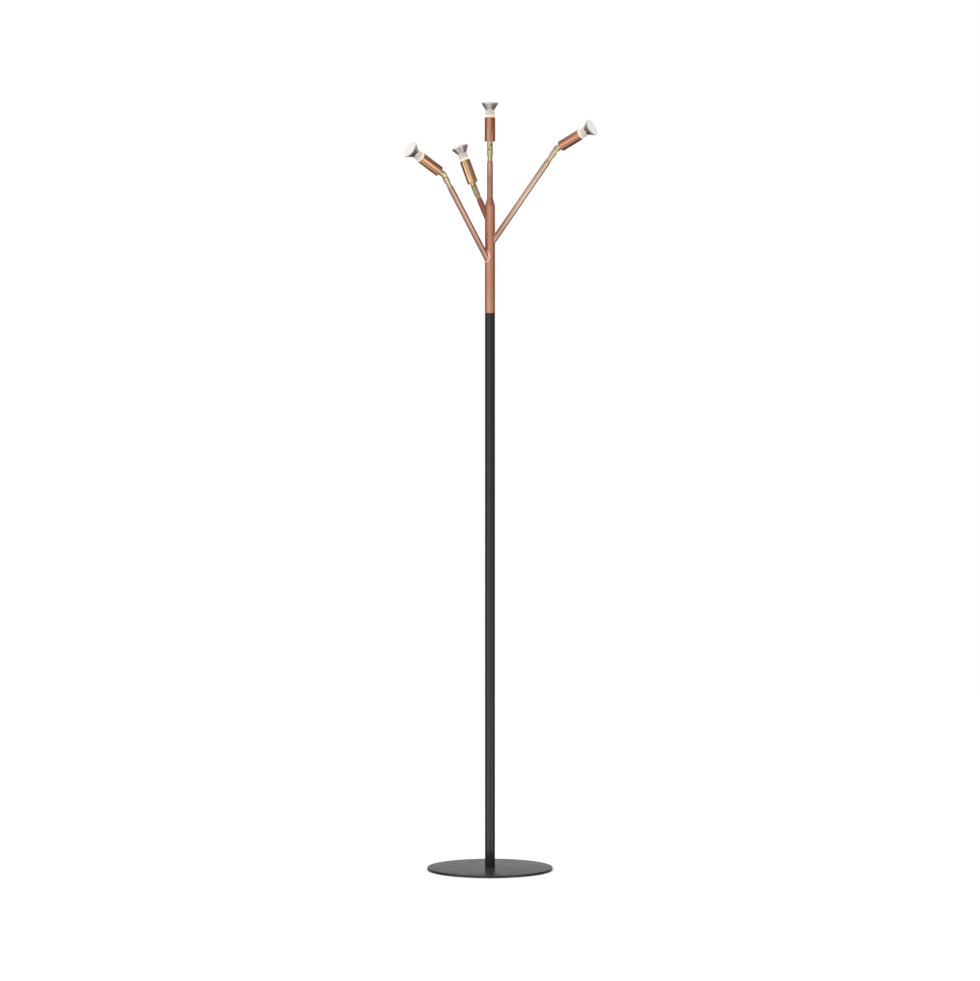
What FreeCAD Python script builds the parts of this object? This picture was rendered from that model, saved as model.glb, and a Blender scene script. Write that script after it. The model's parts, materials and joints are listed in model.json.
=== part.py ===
import FreeCAD, Part
import os
import re
import Sketcher

# Tree floor lamp: a round base, a black pole, and a copper trunk with four arms.
# Each arm carries a brass swivel joint, a copper cup and a reflector bulb.
# The origin is on the floor under the pole. +Z is up and -Y is the front.

# Driving dimensions, in millimetres and degrees

SIZES = {
    # Base plate, its pad and the bolt that holds the pole
    "base_diameter": 260,
    "base_thickness": 5,
    "base_edge_bevel": 0.6,
    "pad_thickness": 0.6,
    "pad_margin": 5,
    "bolt_diameter": 8,
    "bolt_head_diameter": 15.8,
    "bolt_length": 26,
    "bolt_socket_width": 5,
    "bolt_socket_depth": 3,
    # Black pole, from the plate up to the copper trunk
    "pole_diameter": 21,
    "pole_wall": 1.5,
    "pole_length": 1148.4,
    "foot_insert_length": 30,
    "inlet_height": 60,
    "inlet_hole_diameter": 10,
    "grommet_flange_diameter": 13,
    "grommet_flange_proud": 1.8,
    "grommet_lip": 0.8,
    "grommet_bore_diameter": 6.5,
    # Plug that joins the pole and the trunk, and its set screws
    "spigot_half_length": 35,
    "spigot_bore_diameter": 12,
    "set_screw_diameter": 4,
    "set_screw_length": 3.6,
    "set_screw_recess": 0.4,
    "set_screw_distance": 18,
    # Copper trunk, swaged at its top onto the centre arm
    "trunk_diameter": 21,
    "trunk_wall": 1,
    "trunk_length": 220.5,
    "taper_length": 14.5,
    "neck_wall": 0.6,
    "shoulder_radius": 7,
    "terminal_gap": 16,
    "terminal_length": 24,
    "terminal_port_diameter": 3.2,
    "terminal_port_circle": 10.5,
    "terminal_ports": 4,
    # Copper arms: how far below the trunk's shoulder each crosses its axis, which way it
    # goes, and how far it reaches to its joint's pivot. Swivel and bend are how each
    # joint was left.
    "arm_diameter": 12,
    "arm_wall": 1,
    "arm_lean": 34.5,
    "arm_bevel_length": 6.8,
    "arm_bevel_edge": 0.25,
    "braze_width": 0.9,
    "left_drop": 119.5,
    "left_azimuth": -140,
    "left_reach": 218,
    "left_swivel": -24,
    "left_bend": 24.5,
    "right_drop": 81.5,
    "right_azimuth": 1.5,
    "right_reach": 242,
    "right_swivel": -48,
    "right_bend": 35,
    "back_drop": 37.5,
    "back_azimuth": 127,
    "back_reach": 93,
    "back_swivel": 145,
    "back_bend": 21.5,
    "centre_drop": 4.5,
    "centre_reach": 125.8,
    "centre_swivel": 90,
    # Threaded nipple between an arm and its joint
    "nipple_diameter": 10,
    "nipple_collar_length": 9.8,
    "nipple_spigot_length": 18,
    "journal_diameter": 8,
    "journal_length": 7.7,
    "wire_bore_diameter": 5,
    "stop_groove_depth": 0.9,
    "stop_groove_width": 2.8,
    "stop_groove_start": 2.6,
    "stop_land_angle": 16,
    "stop_screw_diameter": 3,
    "stop_tip_diameter": 2,
    # Brass joint, measured from its pivot
    "knuckle_diameter": 12,
    "knuckle_lower_length": 17.9,
    "knuckle_upper_length": 8.9,
    "knuckle_shoulder": 7,
    "knuckle_journal_depth": 8,
    "pivot_screw_diameter": 4,
    "pivot_head_diameter": 6.6,
    "pivot_head_height": 1.2,
    "pivot_slot_width": 1,
    "pivot_slot_depth": 0.6,
    "pivot_nut_width": 6,
    "spot_face_diameter": 7.4,
    "spot_face_depth": 1.4,
    "cup_collar_diameter": 10.8,
    "cup_collar_length": 3.1,
    "cup_stud_diameter": 9.9,
    "cup_stud_spare": 1,
    # Copper cup, its locknut and the ceramic lampholder
    "cup_diameter": 22,
    "cup_wall": 1,
    "cup_floor": 1.2,
    "cup_length": 49,
    "cup_edge_bevel": 0.8,
    "cup_nut_width": 14,
    "cup_nut_thickness": 3,
    "holder_length": 27.8,
    "holder_recess_diameter": 11.4,
    "holder_recess_depth": 5,
    "holder_gap": 0.3,
    "pin_spacing": 10,
    "pin_socket_diameter": 5.6,
    "pin_socket_depth": 8,
    # Reflector bulb
    "pin_shank_diameter": 3,
    "pin_shank_length": 4.5,
    "pin_head_diameter": 5,
    "pin_head_length": 2,
    "bulb_base_length": 23,
    "bulb_plug_length": 3,
    "bulb_neck_diameter": 19,
    "bulb_neck_length": 9.3,
    "bowl_diameter": 35,
    "bowl_depth": 13.7,
    "bowl_shoulder_diameter": 28.2,
    "bowl_shoulder_depth": 6.5,
    "rim_height": 2,
    "glass_thickness": 1.5,
    "lens_thickness": 1.6,
    "capsule_diameter": 6.5,
    "capsule_length": 14,
    "capsule_tip_diameter": 2.5,
    "capsule_tip_length": 3,
    # Clearances: between fitted pieces, in the turning fits, and between turning faces
    "fit_gap": 0.05,
    "running_gap": 0.05,
    "face_gap": 0.1,
}

# Radii, heights and lengths that follow from the driving dimensions

DERIVED = {
    "base_radius": "base_diameter / 2",
    "plate_bottom": "pad_thickness",
    "plate_top": "plate_bottom + base_thickness",
    "bolt_radius": "bolt_diameter / 2",
    "bolt_head_radius": "bolt_head_diameter / 2",
    "bolt_head_height": "bolt_head_radius - bolt_radius",
    "pole_radius": "pole_diameter / 2",
    "pole_bore": "pole_radius - pole_wall",
    "pole_top": "plate_top + pole_length",
    "inlet_radius": "inlet_hole_diameter / 2",
    "set_screw_radius": "set_screw_diameter / 2",
    "trunk_radius": "trunk_diameter / 2",
    "trunk_bore": "trunk_radius - trunk_wall",
    "shoulder_height": "pole_top + trunk_length",
    "neck_height": "shoulder_height + taper_length",
    "terminal_height": "pole_top + spigot_half_length + terminal_gap",
    "left_crossing": "shoulder_height - left_drop",
    "right_crossing": "shoulder_height - right_drop",
    "back_crossing": "shoulder_height - back_drop",
    "centre_crossing": "shoulder_height - centre_drop",
    "arm_radius": "arm_diameter / 2",
    "arm_bore": "arm_radius - arm_wall",
    "arm_hole": "arm_radius + fit_gap",
    "wire_bore": "wire_bore_diameter / 2",
    "journal_radius": "journal_diameter / 2",
    "knuckle_radius": "knuckle_diameter / 2",
    "knuckle_foot": "-knuckle_lower_length",
    "nipple_top": "knuckle_foot - running_gap",
    "arm_end": "nipple_top - nipple_collar_length",
    "groove_low": "nipple_top + stop_groove_start",
    "groove_high": "groove_low + stop_groove_width",
    "stop_height": "groove_low + stop_groove_width / 2",
    "pivot_radius": "pivot_screw_diameter / 2",
    "spot_face": "knuckle_radius - spot_face_depth",
    "cup_seat": "knuckle_upper_length + cup_collar_length",
    "cup_stud_radius": "cup_stud_diameter / 2",
    "cup_inner_floor": "cup_seat + cup_floor",
    "cup_radius": "cup_diameter / 2",
    "cup_bore": "cup_radius - cup_wall",
    "cup_top": "cup_seat + cup_length",
    "holder_bottom": "cup_inner_floor + cup_nut_thickness",
    "holder_top": "holder_bottom + holder_length",
    "holder_radius": "cup_bore - holder_gap",
    "bulb_base_top": "holder_top + bulb_base_length",
    "bulb_plug_top": "bulb_base_top + bulb_plug_length",
    "bulb_neck_radius": "bulb_neck_diameter / 2",
    "bulb_neck_bore": "bulb_neck_radius - glass_thickness",
    "bulb_neck_top": "bulb_base_top + bulb_neck_length",
    "bowl_radius": "bowl_diameter / 2",
    "rim_bottom": "bulb_neck_top + bowl_depth",
    "rim_top": "rim_bottom + rim_height",
    "lens_seat": "rim_top - lens_thickness",
    "lens_radius": "bowl_radius - glass_thickness / 2",
    "capsule_radius": "capsule_diameter / 2",
}

HEADS = ("left", "right", "back", "centre")
SIDE_ARMS = ("left", "right", "back")

doc = FreeCAD.newDocument("tree_floor_lamp")
nodes = {}


# Sheets and expressions

def fill_sheet(name, cells):
    sheet = doc.addObject("Spreadsheet::Sheet", name)
    for row, (alias, content) in enumerate(cells.items(), start=1):
        sheet.set(f"A{row}", alias)
        sheet.set(f"B{row}", str(content))
        sheet.setAlias(f"B{row}", alias)
    doc.recompute()
    return sheet


def named(expression):
    """The expression with each size's name led by its sheet's name."""
    def lead(match):
        word = match.group(0)
        if word in SIZES:
            return "Sizes." + word
        if word in DERIVED:
            return "Derived." + word
        return word
    return re.sub(r"[a-z_]+", lead, expression)


sizes = fill_sheet("Sizes", SIZES)
derived = fill_sheet("Derived", {k: "=" + named(v) for k, v in DERIVED.items()})


def value(expression):
    return float(derived.evalExpression(named(expression)))


# Sketches

def sketch_on(body, plane, offset=None):
    """An empty sketch on one of the body's own origin planes."""
    sketch = body.newObject("Sketcher::SketchObject", body.Name + "_sketch")
    support = [f for f in body.Origin.OriginFeatures if f.Role == plane][0]
    sketch.AttachmentSupport = [(support, "")]
    sketch.MapMode = "FlatFace"
    if offset:
        sketch.setExpression("AttachmentOffset", named(offset))
    return sketch


def hold(sketch, kind, geometry, point, expression):
    """Bind one coordinate of a point, or lay the point on the axis where it is 0."""
    if expression == "0":
        axis = -2 if kind == "DistanceX" else -1
        sketch.addConstraint(Sketcher.Constraint("PointOnObject", geometry, point, axis))
        return
    amount = value(expression)
    index = sketch.addConstraint(
        Sketcher.Constraint(kind, -1, 1, geometry, point, amount)
    )
    sketch.setExpression(f"Constraints[{index}]", named(expression))


def arc_middle(start, end, radius, side):
    """The middle of an arc. Side 1 has its centre left of the way from start to end."""
    chord = end - start
    half = chord.Length / 2
    normal = FreeCAD.Vector(-chord.y, chord.x, 0).normalize() * side
    rise = radius - max(radius * radius - half * half, 0) ** 0.5
    return (start + end) * 0.5 - normal * rise


def outline(sketch, corners):
    """A closed outline. Each corner is (x, y), or (x, y, radius, side) before an arc."""
    at = [FreeCAD.Vector(value(c[0]), value(c[1]), 0) for c in corners]
    ends = []
    radii = []
    for i, corner in enumerate(corners):
        start = at[i]
        end = at[(i + 1) % len(at)]
        if len(corner) == 2:
            index = sketch.addGeometry(Part.LineSegment(start, end), False)
            ends.append((index, 1, 2))
            continue
        radius, side = corner[2:]
        middle = arc_middle(start, end, value(radius), side)
        index = sketch.addGeometry(Part.Arc(start, middle, end), False)
        ends.append((index, 1, 2) if side > 0 else (index, 2, 1))
        radii.append((index, radius))
    for i, (index, first, last) in enumerate(ends):
        following, start, _ = ends[(i + 1) % len(ends)]
        sketch.addConstraint(
            Sketcher.Constraint("Coincident", index, last, following, start)
        )
    for (index, first, _), corner in zip(ends, corners):
        hold(sketch, "DistanceX", index, first, corner[0])
        hold(sketch, "DistanceY", index, first, corner[1])
    for index, radius in radii:
        bind_radius(sketch, index, radius)


def bind_radius(sketch, geometry, radius):
    index = sketch.addConstraint(Sketcher.Constraint("Radius", geometry, value(radius)))
    sketch.setExpression(f"Constraints[{index}]", named(radius))


def circle(sketch, x, y, radius):
    centre = FreeCAD.Vector(value(x), value(y), 0)
    up = FreeCAD.Vector(0, 0, 1)
    index = sketch.addGeometry(Part.Circle(centre, up, value(radius)), False)
    hold(sketch, "DistanceX", index, 3, x)
    hold(sketch, "DistanceY", index, 3, y)
    bind_radius(sketch, index, radius)


def box_outline(sketch, left, right, low, high):
    outline(sketch, [(left, low), (right, low), (right, high), (left, high)])


def hexagon(sketch, width):
    """A hexagon round the origin, by the distance across its flats."""
    turns = [f"{60 * i}" for i in range(6)]
    corner = f"({width} / 2 / cos(30))"
    outline(sketch, [(f"{corner} * cos({a})", f"{corner} * sin({a})") for a in turns])


# Solid features

def new_body(name, place=None):
    body = doc.addObject("PartDesign::Body", name)
    body.Label = name
    if place:
        body.setExpression("Placement", named(place))
    return body


def revolve(body, corners):
    """Turn an outline of radii and heights about the body's Z axis."""
    profile = sketch_on(body, "XZ_Plane")
    outline(profile, corners)
    turned = body.newObject("PartDesign::Revolution", body.Name + "_turned")
    turned.Profile = profile
    turned.ReferenceAxis = (profile, ["V_Axis"])
    turned.Angle = 360
    profile.Visibility = False
    return turned


def pad(body, sketch, length, backwards=False):
    feature = body.newObject("PartDesign::Pad", body.Name + "_pad")
    feature.Profile = sketch
    feature.setExpression("Length", named(length))
    feature.Reversed = backwards
    return feature


def cut(body, sketch, depth=None, backwards=False):
    """Cut a sketch's outline away: to a depth, or both ways through all of the body."""
    doc.recompute()
    before = body.Shape.Volume
    feature = body.newObject("PartDesign::Pocket", body.Name + "_cut")
    feature.Profile = sketch
    if depth:
        feature.setExpression("Length", named(depth))
        feature.Reversed = backwards
    else:
        feature.Type = "ThroughAll"
        feature.SideType = "Symmetric"
    doc.recompute()
    if not body.Shape.Volume < before:
        raise ValueError(f"{feature.Name} in {body.Label} cuts nothing")
    return feature


def round_edges(body, radius, near):
    """Fillet the round edges at a height, each given as (radius, height)."""
    doc.recompute()
    base = body.Tip
    names = []
    for i, edge in enumerate(base.Shape.Edges, start=1):
        if not isinstance(edge.Curve, Part.Circle):
            continue
        for wanted, height in near:
            same = abs(edge.Curve.Radius - value(wanted)) < 1e-4
            if same and abs(edge.Curve.Center.z - value(height)) < 1e-4:
                names.append(f"Edge{i}")
    if len(names) != len(near):
        raise ValueError(f"{body.Label} has {len(names)} of {len(near)} edges to round")
    fillet = body.newObject("PartDesign::Fillet", body.Name + "_round")
    fillet.Base = (base, names)
    fillet.setExpression("Radius", named(radius))
    return fillet


def keep(item):
    nodes[item.Label] = item
    return item


def group(name, members):
    """Alike pieces that share one node, as separate solids."""
    compound = doc.addObject("Part::Compound", name)
    compound.Label = name
    compound.Links = members
    return keep(compound)


def turned_piece(name, corners, place=None):
    body = new_body(name, place)
    revolve(body, corners)
    return keep(body)


# Frames: along each arm, and at each joint's pivot before and after the bend

def arm_frame(head):
    turn = "0; 0; 0" if head == "centre" else f"{head}_azimuth; arm_lean; 0"
    return f"placement(vector(0; 0; {head}_crossing); rotation({turn}))"


def swivel_frame(head):
    reach = f"placement(vector(0; 0; {head}_reach); rotation({head}_swivel; 0; 0))"
    return f"{arm_frame(head)} * {reach}"


def head_frame(head):
    if head == "centre":
        return swivel_frame(head)
    return f"{swivel_frame(head)} * placement(vector(0; 0; 0); rotation(0; {head}_bend; 0))"


def pivot_frame(frame):
    """The same frame with +Z along the pivot screw, from its nut to its head."""
    return f"{frame} * placement(vector(0; 0; 0); rotation(0; 0; -90))"


# Base

def base_plate():
    turned_piece("base_plate", [
        ("bolt_radius + fit_gap", "plate_bottom + bolt_head_height"),
        ("bolt_head_radius + fit_gap", "plate_bottom"),
        ("base_radius", "plate_bottom"),
        ("base_radius", "plate_top - base_edge_bevel"),
        ("base_radius - base_edge_bevel", "plate_top"),
        ("bolt_radius + fit_gap", "plate_top"),
    ])


def base_pad():
    turned_piece("base_pad", [
        ("0", "0"),
        ("base_radius - pad_margin", "0"),
        ("base_radius - pad_margin", "pad_thickness"),
        ("0", "pad_thickness"),
    ])


def base_bolt():
    body = turned_piece("base_bolt", [
        ("0", "plate_bottom"),
        ("bolt_head_radius", "plate_bottom"),
        ("bolt_radius", "plate_bottom + bolt_head_height"),
        ("bolt_radius", "plate_bottom + bolt_length"),
        ("0", "plate_bottom + bolt_length"),
    ])
    socket = sketch_on(body, "XY_Plane", "placement(vector(0; 0; plate_bottom); rotation(0; 0; 0))")
    hexagon(socket, "bolt_socket_width")
    cut(body, socket, "bolt_socket_depth", backwards=True)


# Pole

def side_hole(body, height, radius, reach):
    """A round hole through the back wall, from the axis outward."""
    hole = sketch_on(body, "XZ_Plane")
    circle(hole, "0", height, radius)
    cut(body, hole, reach)


def pole_tube():
    body = turned_piece("pole_tube", [
        ("pole_bore", "plate_top"),
        ("pole_radius", "plate_top"),
        ("pole_radius", "pole_top"),
        ("pole_bore", "pole_top"),
    ])
    side_hole(body, "inlet_height", "inlet_radius", "pole_diameter")
    side_hole(body, "pole_top - set_screw_distance", "set_screw_radius + fit_gap", "pole_diameter")


def pole_foot_insert():
    turned_piece("pole_foot_insert", [
        ("bolt_radius + fit_gap", "plate_top"),
        ("pole_bore - fit_gap", "plate_top"),
        ("pole_bore - fit_gap", "plate_top + foot_insert_length"),
        ("bolt_radius + fit_gap", "plate_top + foot_insert_length"),
    ])


def cord_grommet():
    """Bushing of the cord's inlet. Its flange is saddled to the pole."""
    place = "placement(vector(0; 0; inlet_height); rotation(0; 0; -90))"
    outer = "pole_radius + grommet_flange_proud"
    neck_start = "pole_bore - grommet_lip"
    body = turned_piece("cord_grommet", [
        ("0", "pole_bore - pole_wall"),
        ("grommet_flange_diameter / 2", "pole_bore - pole_wall"),
        ("grommet_flange_diameter / 2", outer),
        ("0", outer),
    ], place)
    saddle = sketch_on(body, "XZ_Plane")
    circle(saddle, "0", "0", "pole_radius")
    cut(body, saddle)
    neck = sketch_on(body, "XY_Plane", f"placement(vector(0; 0; {neck_start}); rotation(0; 0; 0))")
    circle(neck, "0", "0", "inlet_radius - fit_gap")
    pad(body, neck, f"{outer} - ({neck_start})")
    bore = sketch_on(body, "XY_Plane")
    circle(bore, "0", "0", "grommet_bore_diameter / 2")
    cut(body, bore)


def joint_spigot():
    body = turned_piece("joint_spigot", [
        ("spigot_bore_diameter / 2", "pole_top - spigot_half_length"),
        ("pole_bore - fit_gap", "pole_top - spigot_half_length"),
        ("pole_bore - fit_gap", "pole_top"),
        ("trunk_bore - fit_gap", "pole_top"),
        ("trunk_bore - fit_gap", "pole_top + spigot_half_length"),
        ("spigot_bore_diameter / 2", "pole_top + spigot_half_length"),
    ])
    for way in ("-", "+"):
        height = f"pole_top {way} set_screw_distance"
        side_hole(body, height, "set_screw_radius + fit_gap", "trunk_diameter")


def grub_screws():
    screws = []
    for name, radius, way in (("lower", "pole_radius", "-"), ("upper", "trunk_radius", "+")):
        outer = f"{radius} - set_screw_recess"
        height = f"pole_top {way} set_screw_distance"
        place = f"placement(vector(0; 0; {height}); rotation(0; 0; -90))"
        screw = new_body(f"grub_screw_{name}", place)
        revolve(screw, [
            ("0", f"{outer} - set_screw_length"),
            ("set_screw_radius", f"{outer} - set_screw_length"),
            ("set_screw_radius", outer),
            ("0", outer),
        ])
        screws.append(screw)
    group("grub_screws", screws)


# Trunk

def trunk_tube():
    body = turned_piece("trunk_tube", [
        ("trunk_bore", "pole_top"),
        ("trunk_radius", "pole_top"),
        ("trunk_radius", "shoulder_height"),
        ("arm_hole + neck_wall", "neck_height"),
        ("arm_hole", "neck_height"),
        ("trunk_bore", "shoulder_height - trunk_wall"),
    ])
    round_edges(body, "shoulder_radius", [("trunk_radius", "shoulder_height")])
    side_hole(body, "pole_top + set_screw_distance", "set_screw_radius + fit_gap", "trunk_diameter")
    for head in SIDE_ARMS:
        hole = sketch_on(body, "XY_Plane", arm_frame(head))
        circle(hole, "0", "0", "arm_hole")
        cut(body, hole, "trunk_diameter * 2", backwards=True)


def terminal_block():
    """Round connector block with one port for each arm's wires."""
    body = turned_piece("terminal_block", [
        ("0", "terminal_height"),
        ("trunk_bore - holder_gap", "terminal_height"),
        ("trunk_bore - holder_gap", "terminal_height + terminal_length"),
        ("0", "terminal_height + terminal_length"),
    ])
    port = sketch_on(body, "XY_Plane")
    circle(port, "terminal_port_circle / 2", "0", "terminal_port_diameter / 2")
    hole = cut(body, port, "terminal_height + terminal_length", backwards=True)
    ring = body.newObject("PartDesign::PolarPattern", "terminal_ports")
    ring.Originals = [hole]
    ring.Axis = (port, ["N_Axis"])
    ring.Angle = 360
    ring.setExpression("Occurrences", named("terminal_ports"))
    body.Tip = ring


# Arms

def arm_tube(head):
    """Copper tube with its outer end bevelled down to the nipple."""
    end = f"{head}_reach + arm_end"
    body = turned_piece(f"arm_{head}", [
        ("arm_bore", "0"),
        ("arm_radius", "0"),
        ("arm_radius", f"{end} - arm_bevel_length"),
        ("arm_bore + arm_bevel_edge", end),
        ("arm_bore", end),
    ], arm_frame(head))
    if head == "centre":
        return
    upright = sketch_on(body, "XY_Plane", "placement(vector(0; 0; 0); rotation(0; -arm_lean; 0))")
    circle(upright, "0", "0", "trunk_bore")
    cut(body, upright)


def cylinder(name, radius, length, place):
    item = doc.addObject("Part::Cylinder", name)
    item.setExpression("Radius", named(radius))
    item.setExpression("Height", named(length))
    item.setExpression("Placement", named(place))
    return item


def boolean(kind, name, base, tool):
    item = doc.addObject(kind, name)
    item.Base = base
    item.Tool = tool
    return item


def braze_fillets():
    """A bead of filler round each side arm's root, and one round the trunk's neck."""
    beads = []
    for head in SIDE_ARMS:
        foot = f"placement(vector(0; 0; {head}_crossing - trunk_diameter); rotation(0; 0; 0))"
        tall = "trunk_diameter * 4"
        long = "trunk_diameter * 2"
        collar = cylinder(f"{head}_collar", "arm_radius + braze_width", long, arm_frame(head))
        sleeve = cylinder(f"{head}_sleeve", "trunk_radius + braze_width", tall, foot)
        trunk = cylinder(f"{head}_trunk", "trunk_radius", tall, foot)
        arm = cylinder(f"{head}_arm", "arm_radius", long, arm_frame(head))
        ring = boolean("Part::Common", f"{head}_ring", collar, sleeve)
        ring = boolean("Part::Cut", f"{head}_saddle", ring, trunk)
        beads.append(boolean("Part::Cut", f"{head}_bead", ring, arm))
    neck = new_body("neck_bead")
    revolve(neck, [
        ("arm_radius", "neck_height"),
        ("arm_hole + neck_wall", "neck_height"),
        ("arm_radius", "neck_height + braze_width"),
    ])
    group("braze_fillets", beads + [neck])


def arm_nipple(head):
    """Nipple with a spigot in the arm, and a journal that the joint turns on.

    The groove round the journal stops at a land, which stops the joint's turn.
    """
    body = new_body(f"arm_nipple_{head}", swivel_frame(head))
    revolve(body, [
        ("wire_bore", "arm_end - nipple_spigot_length"),
        ("arm_bore - fit_gap", "arm_end - nipple_spigot_length"),
        ("arm_bore - fit_gap", "arm_end"),
        ("nipple_diameter / 2", "arm_end"),
        ("nipple_diameter / 2", "nipple_top"),
        ("journal_radius", "nipple_top"),
        ("journal_radius", "nipple_top + journal_length"),
        ("wire_bore", "nipple_top + journal_length"),
    ])
    doc.recompute()
    before = body.Shape.Volume
    section = sketch_on(body, "XZ_Plane")
    floor = "journal_radius - stop_groove_depth"
    box_outline(section, floor, "knuckle_radius", "groove_low", "groove_high")
    groove = body.newObject("PartDesign::Groove", body.Name + "_groove")
    groove.Profile = section
    groove.ReferenceAxis = (section, ["V_Axis"])
    groove.setExpression("Angle", named("360 - stop_land_angle"))
    groove.Midplane = True
    doc.recompute()
    if not body.Shape.Volume < before:
        raise ValueError(f"{groove.Name} cuts nothing")
    return body


# Brass joint

def eye_end(body, way):
    """Round the end of a joint half about the pivot, above it or below it."""
    outside = sketch_on(body, "XZ_Plane")
    side = -1 if way == "" else 1
    reach = "knuckle_radius + 1"
    outline(outside, [
        ("-knuckle_radius", "0", "knuckle_radius", side),
        ("0", f"{way}knuckle_radius", "knuckle_radius", side),
        ("knuckle_radius", "0"),
        (reach, "0"),
        (reach, f"{way}({reach})"),
        (f"-({reach})", f"{way}({reach})"),
        (f"-({reach})", "0"),
    ])
    cut(body, outside)


def spot_face(body, towards_front):
    """A round flat in the joint's side, where the screw's head or the nut lies."""
    depth = "spot_face" if towards_front else "-spot_face"
    seat = sketch_on(body, "XZ_Plane", f"placement(vector(0; 0; {depth}); rotation(0; 0; 0))")
    circle(seat, "0", "0", "spot_face_diameter / 2")
    cut(body, seat, "knuckle_radius", backwards=towards_front)


def pivot_hole(body, radius):
    hole = sketch_on(body, "XZ_Plane")
    circle(hole, "0", "0", radius)
    cut(body, hole)


def knuckle_lower(head):
    body = turned_piece(f"knuckle_lower_{head}", [
        ("0", "-knuckle_shoulder"),
        ("wire_bore", "-knuckle_shoulder"),
        ("wire_bore", "knuckle_foot + knuckle_journal_depth"),
        ("journal_radius + running_gap", "knuckle_foot + knuckle_journal_depth"),
        ("journal_radius + running_gap", "knuckle_foot"),
        ("knuckle_radius", "knuckle_foot"),
        ("knuckle_radius", "knuckle_radius"),
        ("0", "knuckle_radius"),
    ], swivel_frame(head))
    half = sketch_on(body, "YZ_Plane")
    reach = "knuckle_radius + 1"
    box_outline(half, "-face_gap / 2", reach, "-knuckle_shoulder", reach)
    cut(body, half)
    eye_end(body, "")
    pivot_hole(body, "pivot_radius + running_gap")
    spot_face(body, towards_front=True)
    screw = sketch_on(body, "YZ_Plane")
    circle(screw, "0", "stop_height", "stop_screw_diameter / 2")
    cut(body, screw, "knuckle_diameter", backwards=True)


def stop_screw(head):
    """Small screw in the joint's wall. Its tip runs in the nipple's groove."""
    place = f"{swivel_frame(head)} * placement(vector(0; 0; stop_height); rotation(0; 90; 0))"
    tip = "journal_radius - stop_groove_depth + face_gap"
    turned_piece(f"stop_screw_{head}", [
        ("0", tip),
        ("stop_tip_diameter / 2", tip),
        ("stop_tip_diameter / 2", "journal_radius + face_gap"),
        ("stop_screw_diameter / 2 - fit_gap", "journal_radius + face_gap"),
        ("stop_screw_diameter / 2 - fit_gap", "knuckle_radius - face_gap"),
        ("0", "knuckle_radius - face_gap"),
    ], place)


def knuckle_upper(head):
    stud_top = "holder_bottom + cup_stud_spare"
    body = turned_piece(f"knuckle_upper_{head}", [
        ("0", "-knuckle_radius"),
        ("knuckle_radius", "-knuckle_radius"),
        ("knuckle_radius", "knuckle_upper_length"),
        ("cup_collar_diameter / 2", "knuckle_upper_length"),
        ("cup_collar_diameter / 2", "cup_seat"),
        ("cup_stud_radius", "cup_seat"),
        ("cup_stud_radius", stud_top),
        ("wire_bore", stud_top),
        ("wire_bore", "knuckle_shoulder"),
        ("0", "knuckle_shoulder"),
    ], head_frame(head))
    half = sketch_on(body, "YZ_Plane")
    reach = "knuckle_radius + 1"
    box_outline(half, f"-({reach})", "face_gap / 2", f"-({reach})", "knuckle_shoulder")
    cut(body, half)
    eye_end(body, "-")
    pivot_hole(body, "pivot_radius + fit_gap")
    spot_face(body, towards_front=False)


def knuckle_screw(head):
    """Slotted pivot screw and its nut, sunk in the joint's two sides."""
    place = pivot_frame(head_frame(head))
    head_top = "spot_face + pivot_head_height"
    screw = new_body(f"pivot_screw_{head}", place)
    revolve(screw, [
        ("0", f"-({head_top})"),
        ("pivot_radius", f"-({head_top})"),
        ("pivot_radius", "spot_face"),
        ("pivot_head_diameter / 2", "spot_face"),
        ("pivot_head_diameter / 2", head_top),
        ("0", head_top),
    ])
    top = f"placement(vector(0; 0; {head_top}); rotation(0; 0; 0))"
    slot = sketch_on(screw, "XY_Plane", top)
    long = "pivot_head_diameter / 2 + 1"
    wide = "pivot_slot_width / 2"
    box_outline(slot, f"-({long})", long, f"-({wide})", wide)
    cut(screw, slot, "pivot_slot_depth")
    nut = new_body(f"pivot_nut_{head}", place)
    low = "placement(vector(0; 0; -spot_face - running_gap); rotation(0; 0; 0))"
    flat = sketch_on(nut, "XY_Plane", low)
    hexagon(flat, "pivot_nut_width")
    circle(flat, "0", "0", "pivot_radius + fit_gap")
    pad(nut, flat, "pivot_head_height", backwards=True)
    group(f"knuckle_screw_{head}", [screw, nut])


# Cup and lampholder

def lamp_cup(head):
    turned_piece(f"lamp_cup_{head}", [
        ("cup_stud_radius + fit_gap", "cup_seat"),
        ("cup_radius - cup_edge_bevel", "cup_seat"),
        ("cup_radius", "cup_seat + cup_edge_bevel"),
        ("cup_radius", "cup_top"),
        ("cup_bore", "cup_top"),
        ("cup_bore", "cup_inner_floor"),
        ("cup_stud_radius + fit_gap", "cup_inner_floor"),
    ], head_frame(head))


def cup_nut(head):
    body = new_body(f"cup_nut_{head}", head_frame(head))
    lift = "placement(vector(0; 0; cup_inner_floor); rotation(0; 0; 0))"
    flat = sketch_on(body, "XY_Plane", lift)
    hexagon(flat, "cup_nut_width")
    circle(flat, "0", "0", "cup_stud_radius + fit_gap")
    pad(body, flat, "cup_nut_thickness")
    keep(body)


def at_pins(sketch, radius):
    circle(sketch, "pin_spacing / 2", "0", radius)
    circle(sketch, "-pin_spacing / 2", "0", radius)


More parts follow.
